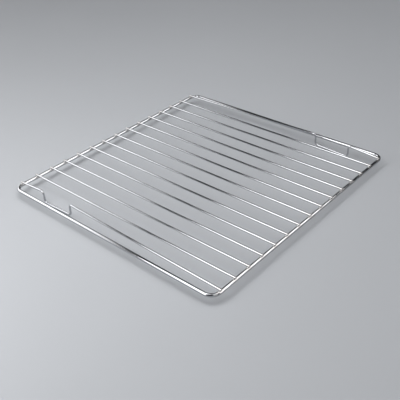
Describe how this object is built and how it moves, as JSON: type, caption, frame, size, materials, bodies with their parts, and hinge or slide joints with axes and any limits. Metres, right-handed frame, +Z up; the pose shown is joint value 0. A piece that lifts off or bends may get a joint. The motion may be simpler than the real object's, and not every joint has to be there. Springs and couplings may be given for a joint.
{
  "type": "oven shelf rack",
  "caption": "Chromed wire oven shelf: a rounded rectangular frame with parallel cross wires welded on top, and an outer wire on each side bent down into an anti-tip stop.",
  "frame": {"origin": "under the middle of the shelf, level with the lowest point of its two stops", "axes": "+X along the cross wires, the way the shelf slides into the oven; +Y across them; +Z up, the stops hang towards -Z"},
  "size_m": [0.4176, 0.4402, 0.0257],
  "materials": {
    "frame_chrome": "bright plated steel",
    "wire_chrome": "bright plated steel"
  },
  "bodies": {
    "root": {"frame_wire": "frame_chrome", "cross_wire_02": "wire_chrome", "cross_wire_03": "wire_chrome", "cross_wire_04": "wire_chrome", "cross_wire_05": "wire_chrome", "cross_wire_06": "wire_chrome", "cross_wire_07": "wire_chrome", "cross_wire_08": "wire_chrome", "cross_wire_09": "wire_chrome", "cross_wire_10": "wire_chrome", "cross_wire_11": "wire_chrome", "cross_wire_12": "wire_chrome", "cross_wire_13": "wire_chrome", "cross_wire_14": "wire_chrome", "stop_wire_front": "wire_chrome", "stop_wire_back": "wire_chrome"}
  },
  "joints": []
}
